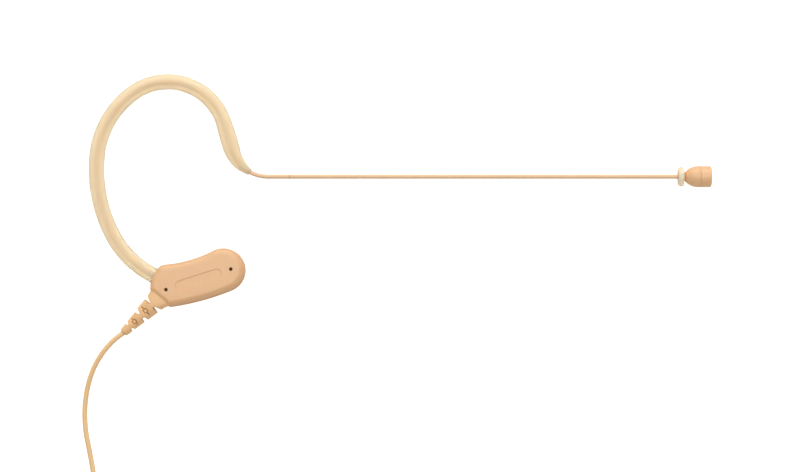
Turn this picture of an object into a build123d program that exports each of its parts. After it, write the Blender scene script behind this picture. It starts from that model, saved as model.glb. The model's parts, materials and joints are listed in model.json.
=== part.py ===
"""Ear-worn headset microphone, lying flat on a table the way it is stored.

A formable boom runs from the microphone capsule in front of the mouth back to the ear, where
a soft translucent sleeve covers it and makes the hook that sits on the ear. Behind the ear it
ends in a small two-shell housing, where it is spliced to a thin cable. The cable leaves through
a slotted strain relief and ends in a small four-contact screw-cap plug with a latch.

Frame, in millimetres: +X runs along the boom towards the mouth, +Y towards the top of the ear,
+Z up from the table. The origin is on the table, under the middle of the earset.
"""

from build123d import *
import math
import os

# ---------------------------------------------------------------- driving dimensions
HALF_LENGTH = 87.3  # origin to the front of the cap
MID = 2.95  # height of every axis of the earset: it lies on the capsule and on the housing
FIT = 0.03  # radial clearance between pieces that slide on each other

# Boom and the formable wire and signal lead inside it
BOOM_Y = 7.95
BOOM_R = 0.6
BOOM_BORE_R = 0.42
CORE_WIRE_R = 0.18
SIGNAL_LEAD_R = 0.19
CORE_SPREAD = 0.2  # the wire runs this far below the boom's axis and the lead this far above

# The boom's centreline, from its straight part round the ear to the housing
BEND_X = -37.0  # where the straight part ends
SWING_X = -31.0  # the stretch that bends up and down ends here
LIFT_X = -21.0  # the stretch that bends towards the cheek ends here
BEND_R, BEND_BARE, BEND_SLEEVED = 10.5, 28.0, 45.1
LIMB_LENGTH = 7.8
CROWN_R, CROWN_ANGLE = 16.5, 107.7
SHOULDER_R, SHOULDER_ANGLE = 24.4, 49.7
BACK_R, BACK_UPPER, BACK_FLEX = 39.7, 19.4, 14.0
HEEL_R, HEEL_FLEX, HEEL_ANGLE = 26.6, 8.0, 26.5
HEEL_STUB = 1.9  # sleeve that goes into the housing
ANCHOR_STUB = 4.4  # bare boom past the end of the sleeve, inside the housing

# Soft ear sleeve
SLEEVE_R = 2.15
SLEEVE_BORE_R = BOOM_R
SLEEVE_TIP_R = 0.8
SLEEVE_NECK_R = 1.5
NECK_AT = 0.42  # share of the taper where the sleeve is as thick as its neck

# Capsule, cap and the ring that keeps sweat off them
CAPSULE_R = MID
CAPSULE_LENGTH = 7.55
CAP_LENGTH = 3.05
CAP_WALL = 0.42
CAP_END = 0.5
OGIVE = ((0, 0.8), (0.35, 1.35), (0.85, 1.83), (1.5, 2.3), (2.3, 2.68))  # tapered rear
OGIVE_LENGTH = 3.35
EDGE = 0.08  # softened edge on each side of the cap's seam
SPIGOT_R = CAPSULE_R - CAP_WALL - FIT
ELEMENT_R, ELEMENT_LENGTH = 2.0, 1.5
RING_R, RING_THICKNESS, RING_GAP = 2.75, 1.6, 0.08

# Housing behind the ear, in its own plane: U runs from the cable end to the round end
HOUSING_AT = (-56.25, -20.81)
HOUSING_TILT = 17.55
HOUSING_END, HOUSING_END_R = (7.3, 0.17), 6.0
HOUSING_CORNERS = (((-9.1, 6.8), 2.0), ((-12.75, 4.4), 3.0), ((-14.2, 0.95), 1.6),
                   ((-10.35, -4.85), 1.3))  # place and fillet radius
HOUSING_WALL = 1.1
HOUSING_FACE = 1.0
FRONT_FILLET, REAR_FILLET = 1.15, 0.9
PIN_SPAN = 19.0
PIN_R, PIN_BOSS_R = 0.5, 0.95
PIN_RECESS = 1.3  # the pins end this far below the front face
PANEL_LENGTH, PANEL_WIDTH, PANEL_DEPTH = 13.4, 2.7, 0.16
BOARD_SIZE = (8.4, 5.6, 0.6)
BOARD_TOP = MID - 0.35

# Strain relief, in its own plane: X runs out of the housing along the cable
RELIEF_AT = (-67.68, -26.33)
RELIEF_HEADING = 224.0
RELIEF_LENGTH = 13.8
COLLAR_HALF_WIDTH, COLLAR_HALF_HEIGHT, COLLAR_SUNK = 3.5, 2.5, 0.9
COLLAR_END, COLLAR_END_R = 1.7, 2.65
SIDE_SLOTS = ((1.95, 2.85), (6.2, 7.35), (10.65, 11.6))  # along X
NECK = 0.9  # half width left between the side slots
FACE_SLOTS = ((4.75, 1.55), (9.1, 1.25))  # place along X, half width across
FACE_SLOT_WIDTH = 0.4
WINDOW_SIZE, WINDOW_POST = 1.25, 0.62

# Cable
CABLE_R = 0.725
CABLE_BORE_R = CABLE_R + FIT
LEAD_END, CABLE_START = -2.15, 9.5  # along the strain relief: its moulded-in stretch of cable
TIE_THICKNESS = 0.3
COIL_AT = (-71.6, -92.8)
COIL_INNER_R, COIL_COLUMNS, COIL_PITCH = 6.9, 5, 1.5
COIL_LAYERS, COIL_LAYER_HEIGHT = 4, 1.47
COIL_LAST_TURN = 0.35  # share of its last turn that is wound
TIE_LENGTH = 3.0
TIE_ANGLE = 75.0

# Plug, in its own plane: X runs from the boot's tip to the nose
PLUG_AT = (-42.0, -95.0)
PLUG_R = 4.7
BOOT_END, BOOT_COLLAR_END, CAP_RING_END, SHELL_END, NOSE_END = 13.0, 15.0, 21.5, 37.5, 44.0
NOSE_R, NOSE_FRONT_R = 4.3, 3.9  # beside the latch hook, and ahead of it
NOSE_STEP = 40.5  # where the nose narrows, along X
SHELL_BORE_R = 3.75
THREAD_R = 3.6  # of the shell's tail, which the end cap screws over
INSERT_R = 3.55
INSERT_START = NOSE_END - 11.0
CONTACT_CIRCLE_R = 1.9
CONTACT_R, CONTACT_BORE_R = 0.72, 0.5
CONTACT_COUNT = 4
LATCH_WIDTH = 2.6
LATCH_PAD = (26.5, 34.5)  # the button, along X
LATCH_HOOK_END = 40.2
LEAF_LOW = 2.95  # where the leaf spring under the button stands on the insert's tongue

# ---------------------------------------------------------------- planes and centrelines
boom_plane = Plane(origin=(0, BOOM_Y, MID))
capsule_rear_x = HALF_LENGTH - CAPSULE_LENGTH
capsule_plane = Plane(origin=(capsule_rear_x, BOOM_Y, MID))
housing_turn = math.radians(HOUSING_TILT)
housing_plane = Plane(
    origin=(*HOUSING_AT, 0), x_dir=(math.cos(housing_turn), math.sin(housing_turn), 0)
)
relief_turn = math.radians(RELIEF_HEADING)
relief_plane = Plane(
    origin=(*RELIEF_AT, MID), x_dir=(math.cos(relief_turn), math.sin(relief_turn), 0)
)
plug_plane = Plane(origin=(*PLUG_AT, PLUG_R))

with BuildLine() as centreline:
    boom_run = Line((capsule_rear_x + 1.9, BOOM_Y), (LIFT_X, BOOM_Y))
    lift_run = Line(boom_run @ 1, (SWING_X, BOOM_Y))
    swing_run = Line(lift_run @ 1, (BEND_X, BOOM_Y))
    bare_bend = JernArc(swing_run @ 1, swing_run % 1, BEND_R, -BEND_BARE)
    sleeved_bend = JernArc(bare_bend @ 1, bare_bend % 1, BEND_R, -BEND_SLEEVED)
    limb = Line(sleeved_bend @ 1, sleeved_bend @ 1 + (sleeved_bend % 1) * LIMB_LENGTH)
    crown = JernArc(limb @ 1, limb % 1, CROWN_R, CROWN_ANGLE)
    shoulder = JernArc(crown @ 1, crown % 1, SHOULDER_R, SHOULDER_ANGLE)
    back_upper = JernArc(shoulder @ 1, shoulder % 1, BACK_R, BACK_UPPER)
    back_flex = JernArc(back_upper @ 1, back_upper % 1, BACK_R, BACK_FLEX)
    heel_flex = JernArc(back_flex @ 1, back_flex % 1, HEEL_R, HEEL_FLEX)
    heel = JernArc(heel_flex @ 1, heel_flex % 1, HEEL_R, HEEL_ANGLE)
    heel_stub = Line(heel @ 1, heel @ 1 + (heel % 1) * HEEL_STUB)
    anchor_stub = Line(heel_stub @ 1, heel_stub @ 1 + (heel % 1) * ANCHOR_STUB)


def stretch(*edges, height=MID):
    """These edges of the centreline as one path, at that height above the table."""
    return Wire(list(edges)).moved(Location((0, 0, height)))


def end_plane(path, at=0.0):
    """The plane across a path at that share of its length."""
    return Plane(origin=path @ at, z_dir=path % at)


def sweep_disc(path, radius, bore=0.0):
    """Adds a round rod along the path to the open part, or a tube where bore is given."""
    with BuildSketch(end_plane(path), mode=Mode.PRIVATE) as disc:
        Circle(radius)
        if bore:
            Circle(bore, mode=Mode.SUBTRACT)
    sweep(disc.sketch, path=path)


def sweep_core(*edges):
    """Adds the formable wire and the signal lead along these edges of the centreline."""
    sweep_disc(stretch(*edges, height=MID - CORE_SPREAD), CORE_WIRE_R)
    sweep_disc(stretch(*edges, height=MID + CORE_SPREAD), SIGNAL_LEAD_R)


def turn(plane, *points, mode=Mode.ADD):
    """Turns the closed outline of (along, radius) points about the plane's X axis."""
    with BuildSketch(plane, mode=Mode.PRIVATE) as outline:
        with BuildLine():
            Polyline(*points, close=True)
        make_face()
    revolve(outline.sketch, axis=Axis(plane.origin, plane.x_dir), mode=mode)


def block(plane, x_range, y_range, z_range, mode=Mode.ADD):
    """A box between these limits, in the plane's own coordinates."""
    size = [high - low for low, high in (x_range, y_range, z_range)]
    middle = [(low + high) / 2 for low, high in (x_range, y_range, z_range)]
    with Locations(plane * Location(middle)):
        Box(*size, mode=mode)


def thin_wire(radius, *points):
    """Adds a thin wire with rounded corners through these points."""
    with BuildLine(mode=Mode.PRIVATE) as path:
        FilletPolyline(*points, radius=radius * 2.5)
    sweep_disc(path.wires()[0], radius)


# ---------------------------------------------------------------- boom
with BuildPart() as boom_tube:
    sweep_disc(stretch(boom_run), BOOM_R, BOOM_BORE_R)

with BuildPart() as boom_core:
    sweep_core(boom_run)

with BuildPart() as boom_lift_bend:
    sweep_disc(stretch(lift_run), BOOM_R, BOOM_BORE_R)
    sweep_core(lift_run)

with BuildPart() as boom_swing_bend:
    sweep_disc(stretch(swing_run, bare_bend), BOOM_R, BOOM_BORE_R)
    sweep_core(swing_run, bare_bend)

upper_edges = (sleeved_bend, limb, crown, shoulder, back_upper)
with BuildPart() as loop_boom_tube:
    sweep_disc(stretch(*upper_edges), BOOM_R, BOOM_BORE_R)

with BuildPart() as loop_boom_core:
    sweep_core(*upper_edges)

with BuildPart() as loop_boom_flex:
    sweep_disc(stretch(back_flex, heel_flex), BOOM_R, BOOM_BORE_R)
    sweep_core(back_flex, heel_flex)

with BuildPart() as heel_boom_tube:
    sweep_disc(stretch(heel, heel_stub, anchor_stub), BOOM_R, BOOM_BORE_R)

with BuildPart() as heel_boom_core:
    sweep_core(heel, heel_stub, anchor_stub)

# ---------------------------------------------------------------- ear sleeve
with BuildPart() as ear_sleeve_upper:
    taper = stretch(sleeved_bend)
    sections = []
    for at, radius in ((0.0, SLEEVE_TIP_R), (NECK_AT, SLEEVE_NECK_R), (1.0, SLEEVE_R)):
        with BuildSketch(end_plane(taper, at), mode=Mode.PRIVATE) as section:
            Circle(radius)
        sections.append(section.sketch)
    sweep(sections, path=taper, multisection=True)
    sweep_disc(stretch(limb, crown, shoulder, back_upper), SLEEVE_R)
    with BuildSketch(end_plane(taper), mode=Mode.PRIVATE) as bore:
        Circle(SLEEVE_BORE_R)
    sweep(bore.sketch, path=stretch(*upper_edges), mode=Mode.SUBTRACT)

with BuildPart() as ear_sleeve_flex:
    sweep_disc(stretch(back_flex, heel_flex), SLEEVE_R, SLEEVE_BORE_R)

with BuildPart() as ear_sleeve_lower:
    sweep_disc(stretch(heel, heel_stub), SLEEVE_R, SLEEVE_BORE_R)

# ---------------------------------------------------------------- capsule
cap_start = CAPSULE_LENGTH - CAP_LENGTH
spigot_end = CAPSULE_LENGTH - CAP_END - 0.35
cavity_r = ELEMENT_R + FIT
element_start = cap_start - 0.9
with BuildPart() as capsule_shell:
    turn(
        capsule_plane,
        (0, BOOM_R),
        *OGIVE,
        (OGIVE_LENGTH, CAPSULE_R),
        (cap_start - EDGE, CAPSULE_R),
        (cap_start, CAPSULE_R - EDGE),
        (cap_start, SPIGOT_R),
        (spigot_end, SPIGOT_R),
        (spigot_end, cavity_r),
        (OGIVE_LENGTH - 0.3, cavity_r),
        (OGIVE_LENGTH - 0.5, 1.2),
        (2.1, 1.2),
        (1.3, BOOM_R),
    )

with BuildPart() as mic_cap:
    cap_end = CAPSULE_LENGTH
    turn(
        capsule_plane,
        (cap_start, SPIGOT_R + FIT),
        (cap_start, CAPSULE_R - EDGE),
        (cap_start + EDGE, CAPSULE_R),
        (cap_end - 0.35, CAPSULE_R),
        (cap_end - 0.1, CAPSULE_R - 0.12),
        (cap_end, CAPSULE_R - 0.4),
        (cap_end, 0),
        (cap_end - CAP_END, 0),
        (cap_end - CAP_END, SPIGOT_R + FIT),
    )
    grille = Plane(origin=(HALF_LENGTH - CAP_END / 2, BOOM_Y, MID), z_dir=(1, 0, 0))
    with Locations(grille):
        Cylinder(0.3, CAP_END * 2, mode=Mode.SUBTRACT)
        with PolarLocations(1.0, 6):
            Cylinder(0.27, CAP_END * 2, mode=Mode.SUBTRACT)
        with PolarLocations(1.85, 12):
            Cylinder(0.24, CAP_END * 2, mode=Mode.SUBTRACT)

with BuildPart() as cap_mesh:
    mesh_front = CAPSULE_LENGTH - CAP_END
    turn(
        capsule_plane,
        (mesh_front - 0.12, 0),
        (mesh_front, 0),
        (mesh_front, SPIGOT_R),
        (mesh_front - 0.12, SPIGOT_R),
    )

with BuildPart() as element_gasket:
    turn(
        capsule_plane,
        (element_start + ELEMENT_LENGTH, ELEMENT_R - 0.5),
        (element_start + ELEMENT_LENGTH, ELEMENT_R),
        (spigot_end, ELEMENT_R),
        (spigot_end, ELEMENT_R - 0.5),
    )

with BuildPart() as electret_element:
    turn(
        capsule_plane,
        (element_start, 0),
        (element_start, ELEMENT_R),
        (element_start + ELEMENT_LENGTH, ELEMENT_R),
        (element_start + ELEMENT_LENGTH, 0),
    )
    port = Plane(
        origin=(capsule_rear_x + element_start + ELEMENT_LENGTH, BOOM_Y, MID), z_dir=(1, 0, 0)
    )
    with Locations(port):
        Cylinder(0.35, 0.5, mode=Mode.SUBTRACT)

with BuildPart() as element_board:
    turn(
        capsule_plane,
        (element_start - 0.35, 0),
        (element_start - 0.35, ELEMENT_R),
        (element_start, ELEMENT_R),
        (element_start, 0),
    )

with BuildPart() as boom_ferrule:
    turn(capsule_plane, (1.35, BOOM_R), (1.35, 0.64), (1.9, 0.95), (1.9, BOOM_R))

with BuildPart() as moisture_ring:
    ring_rear = -RING_GAP - RING_THICKNESS
    turn(
        capsule_plane,
        (ring_rear, BOOM_R + FIT),
        (ring_rear, RING_R - 0.6),
        (ring_rear + 0.18, RING_R - 0.18),
        (ring_rear + 0.6, RING_R),
        (-RING_GAP - 0.6, RING_R),
        (-RING_GAP - 0.18, RING_R - 0.18),
        (-RING_GAP, RING_R - 0.6),
        (-RING_GAP, BOOM_R + FIT),
    )

# ---------------------------------------------------------------- strain relief
with BuildPart() as strain_relief:
    turn(
        relief_plane,
        (-COLLAR_SUNK, 0),
        (-COLLAR_SUNK, 2.4),
        (COLLAR_END, COLLAR_END_R),
        (2.85, 2.6),
        (6.1, 2.22),
        (7.35, 1.98),
        (10.55, 1.57),
        (11.6, 1.42),
        (13.3, 1.15),
        (RELIEF_LENGTH, 0.9),
        (RELIEF_LENGTH, 0),
    )
    with BuildSketch(relief_plane * Plane.YZ.offset(-COLLAR_SUNK), mode=Mode.PRIVATE) as flare_base:
        Ellipse(COLLAR_HALF_WIDTH, COLLAR_HALF_HEIGHT)
    flare_plane = relief_plane * Plane.YZ.offset(COLLAR_END)
    with BuildSketch(flare_plane, mode=Mode.PRIVATE) as flare_end:
        Circle(COLLAR_END_R)
    loft([flare_base.sketch, flare_end.sketch])
    block(relief_plane, (-1.25, -COLLAR_SUNK), (-1.7, 1.7), (-1.5, 1.5))
    block(relief_plane, (-1.8, -1.25), (-2.3, 2.3), (-1.75, 1.75))
    for low, high in SIDE_SLOTS:
        for side in ((NECK, 4.0), (-4.0, -NECK)):
            block(relief_plane, (low, high), side, (-4.0, 4.0), mode=Mode.SUBTRACT)
    for place, half_width in FACE_SLOTS:
        for face in ((CABLE_BORE_R + 0.35, 4.0), (-4.0, -CABLE_BORE_R - 0.35)):
            low, high = place - FACE_SLOT_WIDTH / 2, place + FACE_SLOT_WIDTH / 2
            half, post = WINDOW_SIZE / 2, WINDOW_POST / 2
            rim = (place - half, place + half)
            across = (-half_width, half_width)
            block(relief_plane, (low, high), across, face, mode=Mode.SUBTRACT)
            block(relief_plane, rim, (-half, half), face, mode=Mode.SUBTRACT)
            stump = (face[0], 1.9) if face[0] > 0 else (-1.9, face[1])
            block(relief_plane, (place - post, place + post), (-post, post), stump)
    turn(
        relief_plane,
        (-3, 0),
        (-3, CABLE_BORE_R),
        (RELIEF_LENGTH + 1, CABLE_BORE_R),
        (RELIEF_LENGTH + 1, 0),
        mode=Mode.SUBTRACT,
    )

with BuildPart() as lead_stub:
    turn(
        relief_plane,
        (LEAD_END, 0),
        (LEAD_END, CABLE_R),
        (CABLE_START, CABLE_R),
        (CABLE_START, 0),
    )

with BuildPart() as cable_crimp:
    turn(
        relief_plane,
        (LEAD_END, CABLE_R),
        (LEAD_END, 1.1),
        (-1.8, 1.1),
        (-1.8, CABLE_R),
    )

# ---------------------------------------------------------------- housing
pin_places = ((-PIN_SPAN / 2, 0), (PIN_SPAN / 2, 0))


def draw_housing_outline(inset=0.0):
    """Draws the kidney-shaped outline in the open sketch, inset all round where asked."""
    with BuildSketch(mode=Mode.PRIVATE) as outline:
        with BuildLine():
            corners = [place for place, _ in HOUSING_CORNERS]
            end = CenterArc(HOUSING_END, HOUSING_END_R, -84, 182.5)
            ThreePointArc(end @ 1, (1.0, 5.62), corners[0])
            ThreePointArc(end @ 0, (1.0, -5.98), corners[-1])
            Polyline(*corners)
        make_face()
        for place, radius in HOUSING_CORNERS:
            fillet(outline.vertices().sort_by_distance(place)[0], radius=radius)
    if inset:
        add(offset(outline.sketch, amount=-inset, mode=Mode.PRIVATE))
    else:
        add(outline.sketch)


def cut_cable_and_sleeve_ways():
    """Cuts the sockets of the sleeve, the boom and the strain relief out of the open part."""
    add(strain_relief.part, mode=Mode.SUBTRACT)
    for path, radius in ((stretch(heel, heel_stub), SLEEVE_R), (stretch(anchor_stub), BOOM_R)):
        with BuildSketch(end_plane(path), mode=Mode.PRIVATE) as way:
            Circle(radius)
        sweep(way.sketch, path=path, mode=Mode.SUBTRACT)
    turn(
        relief_plane,
        (-2, 0),
        (-2, CABLE_BORE_R),
        (2, CABLE_BORE_R),
        (2, 0),
        mode=Mode.SUBTRACT,
    )


with BuildPart() as housing_rear:
    with BuildSketch(housing_plane):
        draw_housing_outline()
    extrude(amount=MID)
    fillet(housing_rear.faces().sort_by(Axis.Z)[0].edges(), REAR_FILLET)
    with BuildSketch(housing_plane.offset(HOUSING_FACE)):
        draw_housing_outline(HOUSING_WALL)
    extrude(amount=MID, mode=Mode.SUBTRACT)
    with BuildSketch(housing_plane.offset(HOUSING_FACE)):
        with Locations(*pin_places):
            Circle(PIN_BOSS_R)
    extrude(amount=MID - HOUSING_FACE)
    board_shelf = (HOUSING_FACE, BOARD_TOP - BOARD_SIZE[2])
    block(housing_plane, (-2.6, -1.6), (-2.4, 2.4), board_shelf)
    block(housing_plane, (3.6, 4.6), (-2.4, 2.4), board_shelf)
    with BuildSketch(housing_plane.offset(HOUSING_FACE)):
        with Locations(*pin_places):
            Circle(PIN_R)
    extrude(amount=MID, mode=Mode.SUBTRACT)
    cut_cable_and_sleeve_ways()

front_height = 2 * MID
with BuildPart() as housing_front:
    with BuildSketch(housing_plane.offset(MID)):
        draw_housing_outline()
    extrude(amount=MID)
    fillet(housing_front.faces().sort_by(Axis.Z)[-1].edges(), FRONT_FILLET)
    with BuildSketch(housing_plane.offset(MID)):
        draw_housing_outline(HOUSING_WALL)
    extrude(amount=MID - HOUSING_FACE, mode=Mode.SUBTRACT)
    with BuildSketch(housing_plane.offset(MID)):
        with Locations(*pin_places):
            Circle(PIN_BOSS_R)
    extrude(amount=MID - HOUSING_FACE)
    with BuildSketch(housing_plane.offset(MID)):
        with Locations(*pin_places):
            Circle(PIN_R)
    extrude(amount=MID, mode=Mode.SUBTRACT)
    with BuildSketch(housing_plane.offset(front_height - PANEL_DEPTH)):
        SlotOverall(PANEL_LENGTH, PANEL_WIDTH)
    extrude(amount=MID, mode=Mode.SUBTRACT)
    cut_cable_and_sleeve_ways()

with BuildPart() as housing_pins:
    with BuildSketch(housing_plane.offset(HOUSING_FACE)):
        with Locations(*pin_places):
            Circle(PIN_R)
    extrude(amount=front_height - PIN_RECESS - HOUSING_FACE)

with BuildPart() as splice_board:
    board_x = (1.0 - BOARD_SIZE[0] / 2, 1.0 + BOARD_SIZE[0] / 2)
    board_y = (-BOARD_SIZE[1] / 2, BOARD_SIZE[1] / 2)
    block(housing_plane, board_x, board_y, (BOARD_TOP - BOARD_SIZE[2], BOARD_TOP))

with BuildPart() as board_capacitors:
    for u, v in ((0.2, 1.4), (2.4, 1.4), (3.2, -1.2)):
        block(
            housing_plane,
            (u - 0.5, u + 0.5),
            (v - 0.25, v + 0.25),
            (BOARD_TOP, BOARD_TOP + 0.45),
        )

with BuildPart() as boom_anchor:
    anchor_path = stretch(anchor_stub)
    with BuildSketch(end_plane(anchor_path, 0.12), mode=Mode.PRIVATE) as ring:
        Circle(1.15)
        Circle(BOOM_R, mode=Mode.SUBTRACT)
    extrude(ring.sketch, amount=1.3)

# Splice wires, from the ends of the boom and of the cable to the board
boom_end = stretch(anchor_stub) @ 1
wire_r = 0.14


def board_point(u, v):
    """A solder point on the board's upper face."""
    return housing_plane.from_local_coords(Vector(u, v, BOARD_TOP + wire_r))


with BuildPart() as boom_leads:
    for side in (-1, 1):
        start = boom_end + Vector(0, 0, side * 0.2)
        clear = start + (stretch(anchor_stub) % 1) * 0.8
        landing = board_point(-2.4, 1.0 + 0.55 * side)
        thin_wire(wire_r, start, clear, landing, landing + housing_plane.x_dir * 0.9)

with BuildPart() as cable_leads:
    for side in (-1, 0, 1):
        start = relief_plane.from_local_coords(Vector(LEAD_END, 0.25, 0.4 * side))
        clear = relief_plane.from_local_coords(Vector(LEAD_END - 1.1, 0.8, 0.4 * side))
        landing = board_point(-2.4, -1.5 - 0.45 * side)
        thin_wire(wire_r, start, clear, landing, landing + housing_plane.x_dir * 0.9)

# ---------------------------------------------------------------- cable
relief_axis_points = [
    relief_plane.from_local_coords(Vector(x, 0, 0)) for x in (CABLE_START, 18.1)
]
LEAD_ROUTE = [
    *[tuple(point) for point in relief_axis_points],
    (-86.3, -45.6, 1.75),
    (-88.6, -54.0, 0.85),
    (-88.75, -62.6, 0.74),
    (-86.9, -71.2, 0.78),
    (-85.6, -79.8, 0.9),
    (-85.0, -88.6, 1.0),
]
TAIL_ROUTE = [
    (-67.6, -105.1, 5.4),
    (-61.6, -103.3, 3.9),
    (-56.1, -100.1, 2.2),
    (-50.8, -96.8, 2.0),
    (-45.2, -95.0, PLUG_R),
    (-38.4, -95.0, PLUG_R),
]
ARC_SHARE = 0.45  # each arc's tangent length, as a share of the shorter run beside it


def corner_radii(route):
    """The radius of the arc at each corner of a route."""
    points = [Vector(*point) for point in route]
    radii = []
    for before, corner, after in zip(points, points[1:], points[2:]):
        shorter = min((corner - before).length, (after - corner).length)
        half_turn = math.radians((corner - before).get_angle(after - corner)) / 2
        radii.append(ARC_SHARE * shorter / math.tan(half_turn))
    return radii


def sweep_cable(name, route):
    """Adds the cable's tube along a route, and prints its radii and how long it is."""
    radii = corner_radii(route)
    with BuildLine(mode=Mode.PRIVATE) as path:
        FilletPolyline(*route, radius=radii)
    run = path.wires()[0]
    sweep_disc(run, CABLE_R)
    print(name, "radii", [round(radius, 1) for radius in radii], "length", round(run.length, 1))
    return run.length


with BuildPart() as lead_cable:
    lead_length = sweep_cable("lead_cable", LEAD_ROUTE)

with BuildPart() as lead_tail:
    tail_length = sweep_cable("lead_tail", TAIL_ROUTE)

coil_in = COIL_INNER_R - CABLE_R
coil_out = COIL_INNER_R + (COIL_COLUMNS - 1) * COIL_PITCH + CABLE_R
coil_top = TIE_THICKNESS + 2 * CABLE_R + (COIL_LAYERS - 1) * COIL_LAYER_HEIGHT
coil_axis = Axis((*COIL_AT, 0), (0, 0, 1))
coil_section = Plane(origin=(*COIL_AT, 0), x_dir=(1, 0, 0), z_dir=(0, -1, 0))
coil_middle = ((coil_in + coil_out) / 2, (TIE_THICKNESS + coil_top) / 2)
coil_size = (coil_out - coil_in, coil_top - TIE_THICKNESS)
with BuildPart() as lead_coil:
    with BuildSketch(coil_section, mode=Mode.PRIVATE) as bundle:
        with Locations(coil_middle):
            RectangleRounded(*coil_size, 1.4)
    revolve(bundle.sketch, axis=coil_axis)

with BuildPart() as coil_tie:
    tie_turn = math.radians(TIE_ANGLE)
    tie_out = (math.cos(tie_turn), math.sin(tie_turn), 0)
    tie_across = Vector(-tie_out[1], tie_out[0], 0)
    tie_plane = Plane(origin=(*COIL_AT, 0), x_dir=tie_out, z_dir=tie_across)
    band = (coil_size[0] + 2 * TIE_THICKNESS + 0.5, coil_size[1] + 2 * TIE_THICKNESS)
    with BuildSketch(tie_plane.offset(-TIE_LENGTH / 2), mode=Mode.PRIVATE) as loop:
        with Locations((coil_middle[0], -coil_middle[1])):
            RectangleRounded(*band, 1.6)
            RectangleRounded(coil_size[0] + 0.5, coil_size[1], 1.3, mode=Mode.SUBTRACT)
    extrude(loop.sketch, amount=TIE_LENGTH)

turn_radii = [COIL_INNER_R + COIL_PITCH * column for column in range(COIL_COLUMNS)]
wound = COIL_LAYERS * sum(turn_radii) - (1 - COIL_LAST_TURN) * turn_radii[-1]
coil_length = 2 * math.pi * wound
print("cable in all", round(lead_length + coil_length + tail_length))

# ---------------------------------------------------------------- plug
with BuildPart() as plug_boot:
    turn(
        plug_plane,
        (0, CABLE_BORE_R),
        (0, 1.5),
        (0.4, 1.8),
        (BOOT_END + 0.8, 3.1),
        (BOOT_END + 0.8, 3.6),
        (BOOT_COLLAR_END + 1.0, 3.6),
        (BOOT_COLLAR_END + 1.0, CABLE_BORE_R),
    )
    for index in range(5):
        start = 1.6 + 2.2 * index
        reach = ((1.25, 5.0), (-5.0, -1.25))
        for side in reach:
            slot = (side, (-5.0, 5.0)) if index % 2 else ((-5.0, 5.0), side)
            block(plug_plane, (start, start + 0.8), *slot, mode=Mode.SUBTRACT)

with BuildPart() as plug_end_cap:
    turn(
        plug_plane,
        (BOOT_END + 0.15, 3.15),
        (BOOT_END + 0.15, 3.9),
        (BOOT_COLLAR_END, 4.45),
        (CAP_RING_END, 4.45),
        (CAP_RING_END, 3.65),
        (BOOT_END + 0.75, 3.65),
        (BOOT_END + 0.75, 3.15),
    )
    knurl_plane = plug_plane * Plane.YZ.offset(BOOT_COLLAR_END + 1.0)
    with Locations(knurl_plane):
        with PolarLocations(4.5, 24):
            Cylinder(
                0.16,
                CAP_RING_END - BOOT_COLLAR_END - 2.0,
                align=(Align.CENTER, Align.CENTER, Align.MIN),
                mode=Mode.SUBTRACT,
            )

with BuildPart() as cable_clamp:
    turn(
        plug_plane,
        (BOOT_COLLAR_END + 1.1, CABLE_BORE_R),
        (BOOT_COLLAR_END + 1.1, 3.2),
        (BOOT_COLLAR_END + 1.9, 3.2),
        (BOOT_COLLAR_END + 2.3, 2.7),
        (BOOT_COLLAR_END + 6.4, 2.7),
        (BOOT_COLLAR_END + 6.4, CABLE_BORE_R),
    )
    clamp_slot = (BOOT_COLLAR_END + 2.6, BOOT_COLLAR_END + 7.0)
    block(plug_plane, clamp_slot, (-4.0, 4.0), (-0.35, 0.35), mode=Mode.SUBTRACT)

latch_half = LATCH_WIDTH / 2 + FIT * 2
with BuildPart() as plug_shell:
    turn(
        plug_plane,
        (CAP_RING_END - 4.2, THREAD_R - 0.7),
        (CAP_RING_END - 4.2, THREAD_R),
        (CAP_RING_END + 0.1, THREAD_R),
        (CAP_RING_END + 0.1, PLUG_R - 0.3),
        (CAP_RING_END + 0.4, PLUG_R),
        (SHELL_END - 0.3, PLUG_R),
        (SHELL_END, PLUG_R - 0.3),
        (SHELL_END, NOSE_R),
        (NOSE_STEP, NOSE_R),
        (NOSE_STEP + 0.1, NOSE_FRONT_R),
        (NOSE_END - 0.3, NOSE_FRONT_R),
        (NOSE_END, NOSE_FRONT_R - 0.3),
        (NOSE_END, INSERT_R),
        (INSERT_START, INSERT_R),
        (INSERT_START - 0.2, SHELL_BORE_R),
        (CAP_RING_END + 1.6, SHELL_BORE_R),
        (CAP_RING_END + 0.8, THREAD_R - 0.7),
    )
    window = (LATCH_PAD[0] - 0.1, LATCH_HOOK_END + 0.1)
    block(plug_plane, window, (-latch_half, latch_half), (2.0, 6.0), mode=Mode.SUBTRACT)

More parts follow.
